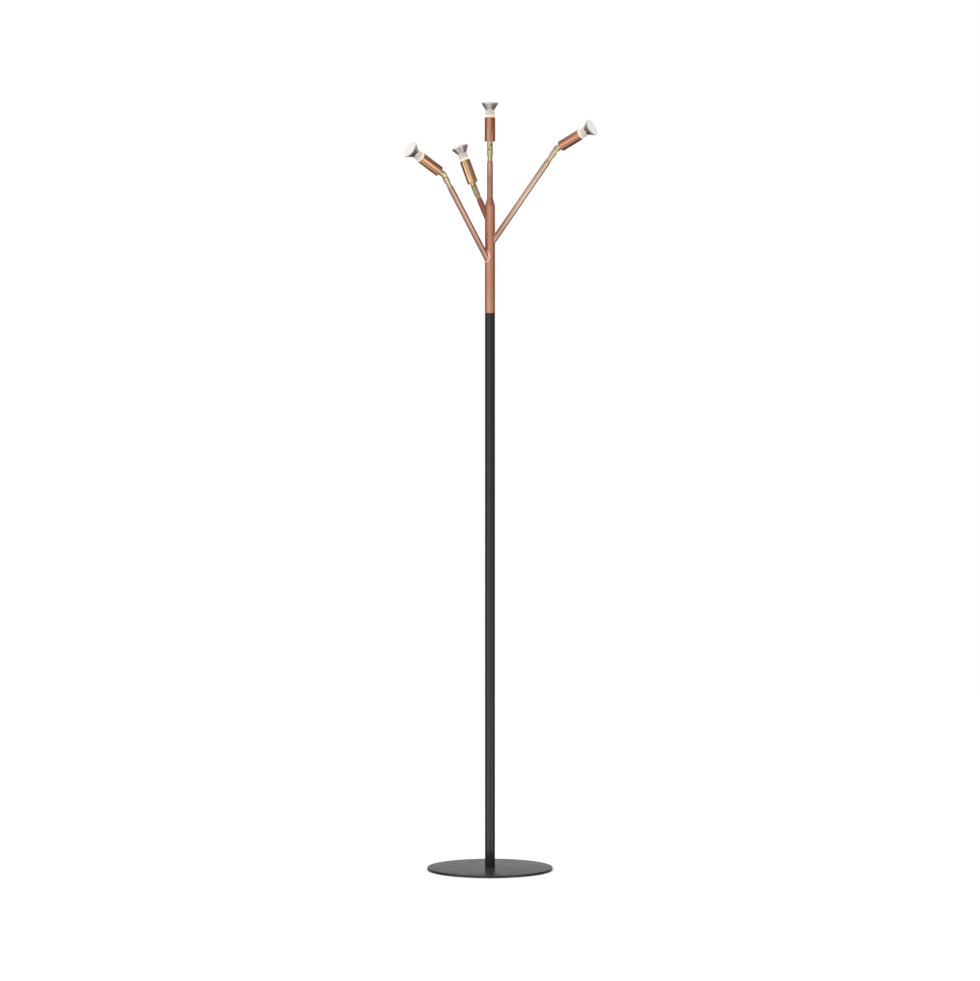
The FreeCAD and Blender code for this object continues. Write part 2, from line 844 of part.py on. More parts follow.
def lamp_holder(head):
    """Ceramic holder with a socket for each of the bulb's pins."""
    body = turned_piece(f"lamp_holder_{head}", [
        ("holder_recess_diameter / 2", "holder_bottom"),
        ("holder_radius", "holder_bottom"),
        ("holder_radius", "holder_top"),
        ("0", "holder_top"),
        ("0", "holder_bottom + holder_recess_depth"),
        ("holder_recess_diameter / 2", "holder_bottom + holder_recess_depth"),
    ], head_frame(head))
    top = "placement(vector(0; 0; holder_top); rotation(0; 0; 0))"
    sockets = sketch_on(body, "XY_Plane", top)
    at_pins(sockets, "pin_socket_diameter / 2")
    cut(body, sockets, "pin_socket_depth")


# Bulb

def bulb_base(head):
    """Ceramic base that stands on the holder, with a plug up the neck and two pins."""
    body = turned_piece(f"bulb_base_{head}", [
        ("0", "holder_top"),
        ("holder_radius", "holder_top"),
        ("holder_radius", "bulb_base_top"),
        ("bulb_neck_bore - fit_gap", "bulb_base_top"),
        ("bulb_neck_bore - fit_gap", "bulb_plug_top"),
        ("0", "bulb_plug_top"),
    ], head_frame(head))
    root = "placement(vector(0; 0; holder_top); rotation(0; 0; 0))"
    shanks = sketch_on(body, "XY_Plane", root)
    at_pins(shanks, "pin_shank_diameter / 2")
    pad(body, shanks, "pin_shank_length", backwards=True)
    end = "placement(vector(0; 0; holder_top - pin_shank_length); rotation(0; 0; 0))"
    heads = sketch_on(body, "XY_Plane", end)
    at_pins(heads, "pin_head_diameter / 2")
    pad(body, heads, "pin_head_length", backwards=True)


def bulb_reflector(head):
    """Glass neck and flared bowl, with a seat for the front glass in the rim."""
    seat = "lens_radius + fit_gap"
    turned_piece(f"bulb_reflector_{head}", [
        ("bulb_neck_bore", "bulb_base_top"),
        ("bulb_neck_radius", "bulb_base_top"),
        ("bulb_neck_radius", "bulb_neck_top"),
        ("bowl_shoulder_diameter / 2", "bulb_neck_top + bowl_shoulder_depth"),
        ("bowl_radius", "rim_bottom"),
        ("bowl_radius", "rim_top"),
        (seat, "rim_top"),
        (seat, "lens_seat"),
        ("bowl_radius - glass_thickness", "lens_seat"),
        ("bulb_neck_bore", "bulb_neck_top + glass_thickness / 2"),
    ], head_frame(head))


def bulb_lens(head):
    turned_piece(f"bulb_lens_{head}", [
        ("0", "lens_seat"),
        ("lens_radius", "lens_seat"),
        ("lens_radius", "rim_top"),
        ("0", "rim_top"),
    ], head_frame(head))


def bulb_capsule(head):
    turned_piece(f"bulb_capsule_{head}", [
        ("0", "bulb_plug_top"),
        ("capsule_radius", "bulb_plug_top"),
        ("capsule_radius", "bulb_plug_top + capsule_length - capsule_tip_length"),
        ("capsule_tip_diameter / 2", "bulb_plug_top + capsule_length"),
        ("0", "bulb_plug_top + capsule_length"),
    ], head_frame(head))


# The whole lamp

def build():
    base_plate()
    base_pad()
    base_bolt()
    pole_foot_insert()
    pole_tube()
    cord_grommet()
    joint_spigot()
    grub_screws()
    trunk_tube()
    terminal_block()
    for head in HEADS:
        arm_tube(head)
    braze_fillets()
    group("arm_nipples", [arm_nipple(head) for head in HEADS])
    for head in HEADS:
        knuckle_lower(head)
        stop_screw(head)
        knuckle_upper(head)
        knuckle_screw(head)
        lamp_cup(head)
        cup_nut(head)
        lamp_holder(head)
        bulb_base(head)
        bulb_reflector(head)
        bulb_capsule(head)
        bulb_lens(head)


def check():
    """Stop if any object failed or any sub-part isn't a sound solid."""
    for item in doc.Objects:
        bad = {"Invalid", "Error"} & set(item.State)
        if bad:
            raise ValueError(f"{item.Label} is {', '.join(sorted(bad))}")
    for label, item in nodes.items():
        if item.Shape.isNull() or not item.Shape.isValid() or not item.Shape.Solids:
            raise ValueError(f"{label} has no valid solid")


def write():
    os.makedirs("parts", exist_ok=True)
    for label, item in nodes.items():
        item.Shape.exportStep(os.path.join("parts", f"{label}.step"))


build()
doc.recompute()
check()
write()
print(f"{len(nodes)} sub-parts, {sum(len(n.Shape.Solids) for n in nodes.values())} solids")
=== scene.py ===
import bpy
import bmesh
import json
import math
from mathutils import Matrix, Vector


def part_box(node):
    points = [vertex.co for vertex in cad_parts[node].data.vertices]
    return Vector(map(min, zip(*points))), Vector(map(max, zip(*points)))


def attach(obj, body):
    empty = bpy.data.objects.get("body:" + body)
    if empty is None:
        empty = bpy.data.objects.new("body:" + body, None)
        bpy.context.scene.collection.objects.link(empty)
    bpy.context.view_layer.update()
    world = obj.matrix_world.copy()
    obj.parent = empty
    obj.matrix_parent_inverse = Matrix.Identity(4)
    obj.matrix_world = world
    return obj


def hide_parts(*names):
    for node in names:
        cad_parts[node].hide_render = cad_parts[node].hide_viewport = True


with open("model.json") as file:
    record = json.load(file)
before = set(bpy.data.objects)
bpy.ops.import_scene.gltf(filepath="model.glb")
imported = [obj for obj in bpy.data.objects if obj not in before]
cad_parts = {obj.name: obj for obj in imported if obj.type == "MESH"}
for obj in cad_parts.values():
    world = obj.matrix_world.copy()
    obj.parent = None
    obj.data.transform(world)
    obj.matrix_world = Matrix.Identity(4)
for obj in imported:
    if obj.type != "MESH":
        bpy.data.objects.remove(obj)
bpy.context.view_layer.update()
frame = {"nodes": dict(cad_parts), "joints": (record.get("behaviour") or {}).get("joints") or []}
NODES = frame["nodes"]
JOINTS = {joint["name"]: joint for joint in frame["joints"]}
HEADS = ("left", "right", "back", "centre")
SIDE_ARMS = ("left", "right", "back")
UP = Vector((0, 0, 1))

# The photograph's camera, solved from the lamp in it. Lengths are in metres
CAMERA_DISTANCE = 7.27
CAMERA_HEIGHT = 1.0
CAMERA_TILT = math.radians(1.6757)
CAMERA_LENS = 128.98
CAMERA_SENSOR = 36

# Stand: radii, and heights above the floor
BASE_RADIUS = 0.130
BASE_LOW = 0.0006
BASE_HIGH = 0.0056
BASE_LOW_ROUND = 0.0004
BASE_TOP_ROUND = 0.0007
POLE_RADIUS = 0.0105
POLE_BORE = 0.009
POLE_TOP = 1.154
INLET_HEIGHT = 0.060
INLET_RADIUS = 0.005
TRUNK_BORE = 0.0095
TRUNK_WALL = 0.001
SHOULDER_HEIGHT = 1.3745
SHOULDER_ROUND = 0.007
NECK_HEIGHT = 1.389
NECK_RADIUS = 0.00665
EDGE_BREAK = 0.0003

# Arms: the end's height is along the arm, from the tilt pivot
ARM_RADIUS = 0.006
ARM_BORE = 0.005
ARM_LIP = 0.00525
ARM_BEVEL = 0.0068
ARM_END = -0.02775
ARM_SUNK = 0.015

# Brazing round the side arms' roots: its pale film spreads further over the trunk to the right
# and upwards, as filler and as a painted highlight on the trunk
BRAZE_WIDTH = 0.0017
BRAZE_AND_HIGHLIGHT_SPREAD = 2.3
SPREAD_RIGHT = 0.8
SPREAD_UP = 0.6
BRAZE_SUNK = 0.00005
BRAZE_FILM = 0.0004
BRAZE_CREST = 0.00035
BRAZE_ON_ARM = 0.00012
BRAZE_INSIDE = 0.0004
BRAZE_SEGMENTS = 72
FILM_STEPS = 5

# Brazing at the trunk's neck: radii, and heights from the neck's end
NECK_BEAD = (
    (NECK_RADIUS, -0.0003),
    (NECK_RADIUS - 0.0001, 0.0003),
    (ARM_RADIUS + 0.0002, 0.0009),
    (ARM_RADIUS - 0.0001, 0.0018),
    (ARM_RADIUS - 0.0001, -0.0003),
)
BEAD_SEGMENTS = 64

# Joint halves: radii, and heights from the tilt pivot
KNUCKLE_RADIUS = 0.00598
KNUCKLE_SHOULDER = 0.007
KNUCKLE_LIP = 0.00612
WIRE_BORE = 0.0025
LIP_STEPS = 32

# Heads: radii, and heights along each head's axis from its tilt pivot
CUP_LOW = 0.012
CUP_HIGH = 0.061
CUP_RADIUS = 0.011
CUP_BORE = 0.010
CUP_FLOOR = 0.0132
CUP_HOLE = 0.005
CUP_ROUND = 0.0008
HOLDER_TOP = 0.044
CERAMIC_RADIUS = 0.0097
CERAMIC_TOP = 0.067
CERAMIC_ROUND = 0.0008
FOOT_ROUND = 0.0005
PLUG_RADIUS = 0.00795
PLUG_TOP = 0.0725
PIN_REACH = 0.005
PIN_RADIUS = 0.0015
PIN_HEAD = 0.0025
PIN_LOW = 0.0375
PIN_NECK = 0.0395
PIN_ROUND = 0.0004
NECK_GLASS = 0.0095
NECK_GLASS_TOP = 0.0778
GLASS = 0.0015
FLARE = 0.0012
BOWL_RADIUS = 0.0175
BOWL_ROUND = 0.0008
RIM_LOW = 0.0896
RIM_SEAM = RIM_LOW + 0.0008
RIM_TOP = 0.092
MIRROR_INSET = 0.985
MIRROR_BANDS = 5
MIRROR_FACETS = 28
LENS_RADIUS = 0.0167
LENS_LOW = 0.0904
LENS_GAP = 0.00005
LENS_LOW_ROUND = 0.0002
LENS_TOP_ROUND = 0.0003

# Light source in each bulb: capsule, pinched foot, leads and coil
CAPSULE_RADIUS = 0.00325
CAPSULE_TOP = 0.084
CAPSULE_FOOT = 0.0735
CAPSULE_ROUND = 0.0012
CAPSULE_SLACK = 1.0001
PINCH_WIDTH = 0.0066
PINCH_DEPTH = 0.0024
PINCH_BEVEL = 0.0005
LEAD_APART = 0.0018
LEAD_RADIUS = 0.00022
LEAD_SUNK = 0.0005
LEAD_BEND = 0.001
COIL_REACH = 0.0014
COIL_RADIUS = 0.0006
COIL_RISE = 0.0022
COIL_WIRE = 0.00012
COIL_STEPS = 96
COIL_STEPS_PER_TURN = 12

# Studio: the even dim level that the metal mirrors, and the floor
DIM_LEVEL = 0.10
LAMPS_FACE = Vector((0, 0, 1.2))
FLOOR_RADIUS = 6
FLOOR_DROP = 0.0002
FLOOR_COLOUR = (0.86, 0.86, 0.86, 1)
FLOOR_GLOW = 0.16


# Frames

def joint_place(head):
    """The pivot, the arm's direction and the tilt axis of a head's joint."""
    swivel = JOINTS[f"swivel_joint_{head}"]
    tilt = JOINTS[f"tilt_joint_{head}"]
    return Vector(tilt["pos_m"]), Vector(swivel["axis"]), Vector(tilt["axis"])


def axes_place(origin, along, side):
    """A matrix with its Z axis along a direction and its Y axis near the side one."""
    z = along.normalized()
    x = side.cross(z).normalized()
    y = z.cross(x)
    place = Matrix((x, y, z)).transposed().to_4x4()
    place.translation = origin
    return place


def arm_place(head):
    """Z along the arm, with the origin at the joint's pivot."""
    pivot, along, side = joint_place(head)
    return axes_place(pivot, along, side)


def head_place(head):
    """Z along the head, with the origin at the joint's pivot."""
    pivot, _, side = joint_place(head)
    low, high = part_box(f"bulb_lens_{head}")
    return axes_place(pivot, (low + high) / 2 - pivot, side)


# Meshes

def as_object(name, mesh, place=None, smooth=True):
    """An object with its mesh in the lamp's frame. Its own coordinates stay in "own"."""
    own = mesh.attributes.new("own", "FLOAT_VECTOR", "POINT")
    for vertex in mesh.vertices:
        own.data[vertex.index].vector = vertex.co
    if place:
        mesh.transform(place)
    mesh.polygons.foreach_set("use_smooth", [smooth] * len(mesh.polygons))
    if smooth:
        mesh.set_sharp_from_angle(angle=math.radians(40))
    obj = bpy.data.objects.new(name, mesh)
    bpy.context.scene.collection.objects.link(obj)
    return obj


def from_bmesh(name, bm, place=None, smooth=True):
    bmesh.ops.recalc_face_normals(bm, faces=bm.faces)
    mesh = bpy.data.meshes.new(name)
    bm.to_mesh(mesh)
    bm.free()
    return as_object(name, mesh, place, smooth)


def rounded(corners, closed=True, steps=4):
    """Outline points, with each (radius, height, round) corner turned into a curve."""
    points = []
    count = len(corners)
    for i, corner in enumerate(corners):
        here = Vector(corner[:2])
        size = corner[2] if len(corner) > 2 else 0
        ends = not closed and i in (0, count - 1)
        if not size or ends:
            points.append(here)
            continue
        back = (Vector(corners[i - 1][:2]) - here).normalized()
        ahead = (Vector(corners[(i + 1) % count][:2]) - here).normalized()
        reach = size / math.tan(back.angle(ahead) / 2)
        for step in range(steps + 1):
            t = step / steps
            first = here + back * reach * (1 - t)
            second = here + ahead * reach * t
            points.append(first.lerp(second, t))
    return points


def arc(start, end, radius, steps=12):
    """Points of an arc between two points, with its centre to their left."""
    a = Vector(start)
    b = Vector(end)
    half = (b - a) / 2
    normal = Vector((-half.y, half.x)).normalized()
    centre = (a + b) / 2 + normal * math.sqrt(radius ** 2 - half.length_squared)
    turn = 2 * math.asin(half.length / radius)
    points = []
    for step in range(steps + 1):
        angle = turn * step / steps
        ray = a - centre
        x = ray.x * math.cos(angle) - ray.y * math.sin(angle)
        y = ray.x * math.sin(angle) + ray.y * math.cos(angle)
        points.append(centre + Vector((x, y)))
    return points


def bridge(bm, rings, closed=False):
    """Join neighbouring rings of corners with faces."""
    pairs = list(zip(rings, rings[1:]))
    if closed:
        pairs.append((rings[-1], rings[0]))
    for low, high in pairs:
        for i in range(len(low)):
            j = (i + 1) % len(low)
            bm.faces.new((low[i], low[j], high[j], high[i]))


def lathe(name, points, place=None, closed=True, segments=96, smooth=True):
    """Turn an outline of radii and heights about the Z axis."""
    bm = bmesh.new()
    rings = []
    for radius, height in points:
        ring = []
        for i in range(segments):
            angle = 2 * math.pi * i / segments
            at = (radius * math.cos(angle), radius * math.sin(angle), height)
            ring.append(bm.verts.new(at))
        rings.append(ring)
    bridge(bm, rings, closed)
    bmesh.ops.remove_doubles(bm, verts=bm.verts, dist=1e-7)
    return from_bmesh(name, bm, place, smooth)


def tube(bm, path, radius, sides=8):
    """A round wire along a path of points."""
    rings = []
    for i, point in enumerate(path):
        ahead = path[min(i + 1, len(path) - 1)] - path[max(i - 1, 0)]
        turn = ahead.to_track_quat("Z", "X")
        ring = []
        for side in range(sides):
            angle = 2 * math.pi * side / sides
            out = Vector((radius * math.cos(angle), radius * math.sin(angle), 0))
            ring.append(bm.verts.new(point + turn @ out))
        rings.append(ring)
    bridge(bm, rings)
    bm.faces.new(rings[0])
    bm.faces.new(rings[-1])


def drill(obj, radius, start, end):
    """Cut a round hole between two points."""
    along = end - start
    cutter = lathe(
        "cutter",
        [(0, 0), (radius, 0), (radius, along.length), (0, along.length)],
        axes_place(start, along, Vector((1, 0, 0))),
        closed=False,
        segments=48,
    )
    cut = obj.modifiers.new("hole", "BOOLEAN")
    cut.operation = "DIFFERENCE"
    cut.solver = "EXACT"
    cut.object = cutter
    graph = bpy.context.evaluated_depsgraph_get()
    mesh = bpy.data.meshes.new_from_object(obj.evaluated_get(graph))
    obj.modifiers.clear()
    obj.data = mesh
    bpy.data.objects.remove(cutter)


def finish_piece(obj, material, body, slot, *replaced):
    """Give a piece its material and body, and hide the CAD nodes it stands for. The slot is not
    used.
    """
    obj.data.materials.clear()
    obj.data.materials.append(material)
    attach(obj, body)
    if replaced:
        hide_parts(*replaced)
    return obj


# Materials

def new_material(name, own_axes):
    """A material, its shader, and coordinates in metres, the piece's own or the lamp's."""
    material = bpy.data.materials.new(name)
    material.use_nodes = True
    tree = material.node_tree
    shader = tree.nodes["Principled BSDF"]
    if own_axes:
        source = tree.nodes.new("ShaderNodeAttribute")
        source.attribute_name = "own"
        place = source.outputs["Vector"]
    else:
        source = tree.nodes.new("ShaderNodeTexCoord")
        place = source.outputs["Object"]
    return material, tree, shader, place


def noise(tree, place, scale, detail=4.0, stretch=(1, 1, 1)):
    """Noise from 0 to 1 over the piece. A stretch below 1 draws it out along that axis."""
    mapping = tree.nodes.new("ShaderNodeMapping")
    mapping.inputs["Scale"].default_value = stretch
    tree.links.new(place, mapping.inputs["Vector"])
    texture = tree.nodes.new("ShaderNodeTexNoise")
    texture.inputs["Scale"].default_value = scale
    texture.inputs["Detail"].default_value = detail
    tree.links.new(mapping.outputs["Vector"], texture.inputs["Vector"])
    return texture.outputs["Fac"]


def span(tree, value, low, high, start=0.35, end=0.65):
    """Remap a value from start to end onto low to high."""
    node = tree.nodes.new("ShaderNodeMapRange")
    node.inputs["From Min"].default_value = start
    node.inputs["From Max"].default_value = end
    node.inputs["To Min"].default_value = low
    node.inputs["To Max"].default_value = high
    tree.links.new(value, node.inputs["Value"])
    return node.outputs["Result"]


def join_values(tree, operation, first, second):
    """A maths node. Each value is a float or a socket."""
    node = tree.nodes.new("ShaderNodeMath")
    node.operation = operation
    for value, socket in zip((first, second), node.inputs):
        if isinstance(value, float):
            socket.default_value = value
        else:
            tree.links.new(value, socket)
    return node.outputs[0]


def blend_colours(tree, factor, first, second):
    """Mix two colours, each a tuple or a socket."""
    node = tree.nodes.new("ShaderNodeMix")
    node.data_type = "RGBA"
    tree.links.new(factor, node.inputs["Factor"])
    for colour, socket in ((first, node.inputs[6]), (second, node.inputs[7])):
        if isinstance(colour, tuple):
            socket.default_value = (*colour, 1)
        else:
            tree.links.new(colour, socket)
    return node.outputs[2]


def bump(tree, shader, height, depth, strength):
    """Fine relief. The depth is in metres."""
    node = tree.nodes.new("ShaderNodeBump")
    node.inputs["Strength"].default_value = strength
    node.inputs["Distance"].default_value = depth
    tree.links.new(height, node.inputs["Height"])
    tree.links.new(node.outputs["Normal"], shader.inputs["Normal"])


def metal(name, light, dark, rough, own_axes=True, drawn=True, tints=(), lacquer=0.0, matt=0.0):
    """Metal with slow shifts of tone, drawing lines along the tube and fine wear.

    Each tint is a colour and the two heights between which it takes over.
    """
    material, tree, shader, place = new_material(name, own_axes)
    shader.inputs["Metallic"].default_value = 1 - matt
    shader.inputs["Coat Weight"].default_value = lacquer
    shader.inputs["Coat Roughness"].default_value = 0.12
    patches = noise(tree, place, 28, detail=5, stretch=(1, 1, 0.35))
    colour = blend_colours(tree, span(tree, patches, 0, 1), light, dark)
    height = tree.nodes.new("ShaderNodeSeparateXYZ")
    tree.links.new(place, height.inputs[0])
    for tone, start, end in tints:
        share = span(tree, height.outputs["Z"], 0, 1, start, end)
        colour = blend_colours(tree, share, colour, tone)
    if drawn:
        lines = noise(tree, place, 900, detail=3, stretch=(1, 1, 0.02))
        share = 0.35
        depth = 0.000004
    else:
        lines = noise(tree, place, 1500, detail=3)
        share = 0.15
        depth = 0.000002
    deeper = tuple(0.9 * c for c in light)
    colour = blend_colours(tree, span(tree, lines, 0, share), colour, deeper)
    tree.links.new(colour, shader.inputs["Base Color"])
    smears = noise(tree, place, 60, detail=6, stretch=(1, 1, 0.4))
    tree.links.new(span(tree, smears, *rough), shader.inputs["Roughness"])
    bump(tree, shader, lines, depth, strength=0.2)
    return material


def paint(name, colour, rough, grain, depth, gloss):
    """Powder coat: fine orange peel, with a little dust that lightens it."""
    material, tree, shader, place = new_material(name, False)
    shader.inputs["Specular IOR Level"].default_value = gloss
    dust = span(tree, noise(tree, place, 18, detail=8), 0, 1, start=0.45, end=0.75)
    lighter = tuple(c * 1.2 + 0.001 for c in colour)
    tree.links.new(blend_colours(tree, dust, colour, lighter), shader.inputs["Base Color"])
    smears = noise(tree, place, 35, detail=6)
    tree.links.new(span(tree, smears, *rough), shader.inputs["Roughness"])
    bump(tree, shader, noise(tree, place, grain, detail=2), depth, strength=0.5)
    return material


def ceramic(name, colour, rough, own_axes):
    """Matt ceramic or plastic, faintly speckled and grainy."""
    material, tree, shader, place = new_material(name, own_axes)
    specks = span(tree, noise(tree, place, 700, detail=3), 0, 1, start=0.55, end=0.7)
    darker = tuple(0.9 * c for c in colour)
    tree.links.new(blend_colours(tree, specks, colour, darker), shader.inputs["Base Color"])
    tree.links.new(span(tree, noise(tree, place, 250), *rough), shader.inputs["Roughness"])
    bump(tree, shader, noise(tree, place, 900, detail=3), 0.00002, strength=0.4)
    return material


def silvering(name, deep, pale):
    """Mirror coat of a bulb's bowl, dark at the neck and thinning to pale glass at the rim."""
    material, tree, shader, place = new_material(name, True)
    height = tree.nodes.new("ShaderNodeSeparateXYZ")
    tree.links.new(place, height.inputs[0])
    uneven = join_values(tree, "MULTIPLY", noise(tree, place, 220), 0.003)
    level = join_values(tree, "ADD", height.outputs["Z"], uneven)
    share = span(tree, level, 0, 1, start=RIM_LOW - 0.001, end=RIM_LOW + 0.003)
    tree.links.new(blend_colours(tree, share, deep, pale), shader.inputs["Base Color"])
    tree.links.new(span(tree, share, 1, 0.75, start=0, end=1), shader.inputs["Metallic"])
    smears = noise(tree, place, 60, detail=6)
    tree.links.new(span(tree, smears, 0.08, 0.14), shader.inputs["Roughness"])
    return material


def clear_glass(name, tint, paler, rough, clarity=1.0):
    """Glass with faint streaks along its axis. Clarity is the share that lets light through."""
    material, tree, shader, place = new_material(name, True)
    veil = span(tree, noise(tree, place, 300, detail=3, stretch=(1, 1, 0.1)), 0, 1)
    tree.links.new(blend_colours(tree, veil, tint, paler), shader.inputs["Base Color"])
    tree.links.new(span(tree, noise(tree, place, 120), *rough), shader.inputs["Roughness"])
    shader.inputs["Transmission Weight"].default_value = clarity
    shader.inputs["IOR"].default_value = 1.5
    return material


def rubber(name, colour):
    """Matt rubber, rubbed paler in places."""
    material, tree, shader, place = new_material(name, False)
    worn = span(tree, noise(tree, place, 150, detail=5), 0, 1)
    lighter = tuple(c * 1.6 for c in colour)
    tree.links.new(blend_colours(tree, worn, colour, lighter), shader.inputs["Base Color"])
    tree.links.new(span(tree, worn, 0.6, 0.8, start=0, end=1), shader.inputs["Roughness"])
    bump(tree, shader, noise(tree, place, 1500), 0.00003, strength=0.4)
    return material


def stippled_glass(name, colour):
    """Pressed front glass: milky, with fine round pebbles that scatter the light."""
    material, tree, shader, place = new_material(name, True)
    cells = tree.nodes.new("ShaderNodeTexVoronoi")
    cells.inputs["Scale"].default_value = 700
    tree.links.new(place, cells.inputs["Vector"])
    pebbles = span(tree, cells.outputs["Distance"], 1, 0, start=0, end=0.6)
    paler = tuple(0.97 * c for c in colour)
    tree.links.new(blend_colours(tree, pebbles, paler, colour), shader.inputs["Base Color"])
    tree.links.new(span(tree, pebbles, 0.4, 0.25, start=0, end=1), shader.inputs["Roughness"])
    shader.inputs["Transmission Weight"].default_value = 0.06
    bump(tree, shader, pebbles, 0.0001, strength=0.3)
    return material


# Colours, each with the darker tone that it shifts to
COPPER_LIGHT = (0.84, 0.45, 0.275)
COPPER_DARK = (0.77, 0.39, 0.235)
COPPER_CUP = (0.91, 0.50, 0.28)
COPPER_CUP_DARK = (0.83, 0.43, 0.235)
# Brighter copy of the cup copper for the back cup: a painted highlight
COPPER_CUP_PAINTED_LIT = (0.97, 0.60, 0.35)
COPPER_CUP_PAINTED_LIT_DARK = (0.89, 0.51, 0.28)
# Darker copy of the cup copper for the right and centre cups: painted shade
COPPER_CUP_PAINTED_SHADE = (0.76, 0.36, 0.21)
COPPER_CUP_PAINTED_SHADE_DARK = (0.68, 0.30, 0.18)
COPPER_PALE = (0.94, 0.56, 0.41)
COPPER_PALE_DARK = (0.86, 0.48, 0.34)
# Brighter copy of the arm copper for the right arm: a painted highlight
COPPER_PAINTED_LIT = (0.99, 0.70, 0.54)
COPPER_PAINTED_LIT_DARK = (0.94, 0.63, 0.47)
# Darker red copper: on the back arm it is painted shade, as that arm lies behind the trunk; the
# neck's bead uses it too
COPPER_ROSE = (0.70, 0.31, 0.215)
COPPER_ROSE_DARK = (0.62, 0.27, 0.185)
BRASS_LIGHT = (0.92, 0.77, 0.50)
BRASS_DARK = (0.85, 0.69, 0.43)
# Pale filler; where it spreads over the trunk it also stands for a painted highlight
BRAZING_LIGHT = (0.97, 0.68, 0.54)
BRAZING_DARK = (0.90, 0.58, 0.44)
STEEL_LIGHT = (0.62, 0.62, 0.60)
STEEL_DARK = (0.5, 0.5, 0.49)
TUNGSTEN_LIGHT = (0.45, 0.45, 0.46)
TUNGSTEN_DARK = (0.35, 0.35, 0.36)
SILVER_PALE = (0.96, 0.95, 0.93)
SILVER_DEEP = (0.80, 0.77, 0.74)
NECK_PALE = (1.0, 0.98, 0.91)
NECK_TINT = (0.86, 0.80, 0.71)
QUARTZ_PALE = (0.99, 0.99, 0.98)
QUARTZ_TINT = (0.96, 0.96, 0.95)

# Tints: painted shade at the side arms' roots and at the right arm's head end, a painted dark
# reflection low on the centre arm, and the trunk turning redder towards its top
# Painted shade towards the right arm's head end, where its highlight fades
COPPER_END_SHADE = (0.88, 0.58, 0.42)
# Painted shade, darkening the side arms towards the trunk
COPPER_ROOT_SHADE = (0.66, 0.37, 0.26)
COPPER_RED = (0.86, 0.39, 0.27)
# Painted dark reflection, low on the centre arm
COPPER_PAINTED_REFLECTION = (0.66, 0.29, 0.20)

# Colours of the matt pieces
POLE_BLACK = (0.0117, 0.012, 0.0124)
BASE_GREY = (0.0215, 0.0225, 0.0245)
HOLDER_WHITE = (0.85, 0.83, 0.78)
BULB_CREAM = (0.93, 0.83, 0.66)
FRONT_MILK = (0.93, 0.905, 0.87)
RUBBER_BLACK = (0.02, 0.02, 0.02)
PLASTIC_WHITE = (0.82, 0.82, 0.79)

# Materials. The trunk's tints are at heights above the floor, an arm's at heights along it
copper_trunk = metal(
    "copper_trunk", COPPER_LIGHT, COPPER_DARK, (0.42, 0.5),
    tints=((COPPER_RED, 1.24, 1.34),),
)
# Left arm: darker towards the trunk as painted shade
copper_arm = metal(
    "copper_arm", COPPER_PALE, COPPER_PALE_DARK, (0.2, 0.28),
    tints=((COPPER_ROOT_SHADE, -0.09, -0.17),), lacquer=0.4,
)
# Right arm: a brighter copy of the arm copper as a painted highlight, darker at both ends as
# painted shade
copper_arm_painted_highlight = metal(
    "copper_arm_painted_highlight", COPPER_PAINTED_LIT, COPPER_PAINTED_LIT_DARK, (0.15, 0.21),
    tints=((COPPER_END_SHADE, -0.10, -0.05), (COPPER_ROOT_SHADE, -0.13, -0.20)), lacquer=0.4,
)
# Centre arm: pale copper, darker more than 5 to 6 cm below the pivot as a painted reflection
copper_painted_reflection = metal(
    "copper_painted_reflection", COPPER_PALE, COPPER_PALE_DARK, (0.24, 0.32),
    tints=((COPPER_PAINTED_REFLECTION, -0.050, -0.060),),
)
# Darker red copper: painted shade on the back arm; it also colours the neck's bead
copper_red = metal("copper_red", COPPER_ROSE, COPPER_ROSE_DARK, (0.3, 0.4))
copper_polished = metal(
    "copper_polished", COPPER_CUP, COPPER_CUP_DARK, (0.14, 0.2), lacquer=0.6,
)
# Back cup: a brighter copy of the cup copper as a painted highlight
copper_cup_painted_highlight = metal(
    "copper_cup_painted_highlight", COPPER_CUP_PAINTED_LIT, COPPER_CUP_PAINTED_LIT_DARK, (0.14, 0.2), lacquer=0.6,
)
# Right and centre cups: a darker copy of the cup copper as painted shade
copper_cup_painted_shade = metal(
    "copper_cup_painted_shade", COPPER_CUP_PAINTED_SHADE, COPPER_CUP_PAINTED_SHADE_DARK, (0.16, 0.22), lacquer=0.5,
)
brass_turned = metal(
    "brass_turned", BRASS_LIGHT, BRASS_DARK, (0.24, 0.3), own_axes=False, drawn=False,
)
brazing = metal(
    "brazing", BRAZING_LIGHT, BRAZING_DARK, (0.25, 0.36),
    own_axes=False, drawn=False, matt=0.4,
)
steel = metal(
    "plated_steel", STEEL_LIGHT, STEEL_DARK, (0.25, 0.4), own_axes=False, drawn=False,
)
silvered = silvering("silvered_bowl", SILVER_DEEP, SILVER_PALE)
tungsten = metal("tungsten", TUNGSTEN_LIGHT, TUNGSTEN_DARK, (0.3, 0.4), drawn=False)
pole_paint = paint("pole_paint", POLE_BLACK, (0.2, 0.26), grain=1800, depth=0.000006, gloss=0.7)
base_paint = paint("base_paint", BASE_GREY, (0.26, 0.32), grain=1500, depth=0.000006, gloss=0.5)
holder_ceramic = ceramic("holder_ceramic", HOLDER_WHITE, (0.35, 0.5), own_axes=False)
bulb_ceramic = ceramic("bulb_ceramic", BULB_CREAM, (0.4, 0.55), own_axes=True)
neck_glass = clear_glass("neck_glass", NECK_TINT, NECK_PALE, (0.08, 0.16), clarity=0.44)
front_glass = stippled_glass("front_glass", FRONT_MILK)
quartz = clear_glass("quartz", QUARTZ_TINT, QUARTZ_PALE, (0.02, 0.06))
black_rubber = rubber("black_rubber", RUBBER_BLACK)
white_plastic = ceramic("white_plastic", PLASTIC_WHITE, (0.4, 0.55), own_axes=False)

